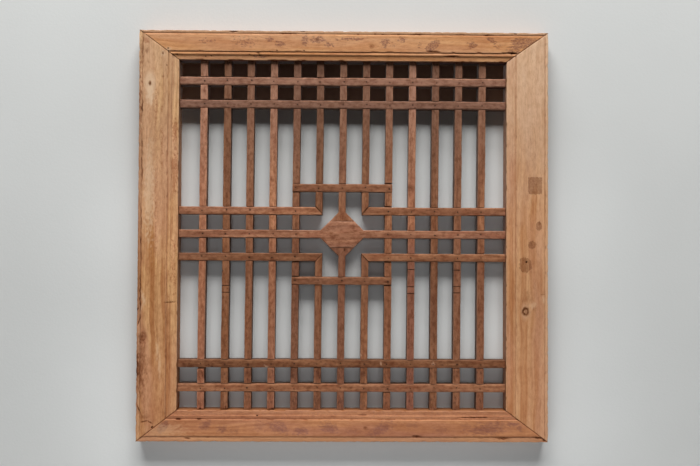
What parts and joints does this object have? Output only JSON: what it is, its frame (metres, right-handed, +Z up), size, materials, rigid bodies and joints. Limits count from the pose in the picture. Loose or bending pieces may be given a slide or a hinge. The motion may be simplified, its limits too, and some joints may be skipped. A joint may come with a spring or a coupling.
{
  "type": "wooden lattice window",
  "caption": "Square wooden lattice window panel: a mitred, moulded frame round half-lapped bars with a diamond at the centre, to hang on a wall or be built in.",
  "frame": {"origin": "centre of the top rail's back face, where the window hangs against its wall", "axes": "+X to the right seen from the front, +Y into the wall, +Z up; the moulded face looks towards -Y"},
  "size_m": [0.9, 0.045, 0.9],
  "materials": {
    "frame_wood": "worn, dry, waxed long ago",
    "lattice_wood": "worn, dark, satin"
  },
  "bodies": {
    "root": {"top_rail": "frame_wood", "right_stile": "frame_wood", "bottom_rail": "frame_wood", "left_stile": "frame_wood", "crossbar_top_outer": "lattice_wood", "crossbar_top_inner": "lattice_wood", "crossbar_short_upper": "lattice_wood", "crossbar_upper_left": "lattice_wood", "crossbar_upper_right": "lattice_wood", "crossbar_centre": "lattice_wood", "crossbar_lower_left": "lattice_wood", "crossbar_lower_right": "lattice_wood", "crossbar_short_lower": "lattice_wood", "crossbar_bottom_inner": "lattice_wood", "crossbar_bottom_outer": "lattice_wood", "upright_01": "lattice_wood", "upright_02": "lattice_wood", "upright_03": "lattice_wood", "upright_04": "lattice_wood", "upright_05": "lattice_wood", "upright_06_upper": "lattice_wood", "upright_06_lower": "lattice_wood", "upright_centre": "lattice_wood", "upright_08_upper": "lattice_wood", "upright_08_lower": "lattice_wood", "upright_09": "lattice_wood", "upright_10": "lattice_wood", "upright_11": "lattice_wood", "upright_12": "lattice_wood", "upright_13": "lattice_wood"}
  },
  "joints": []
}
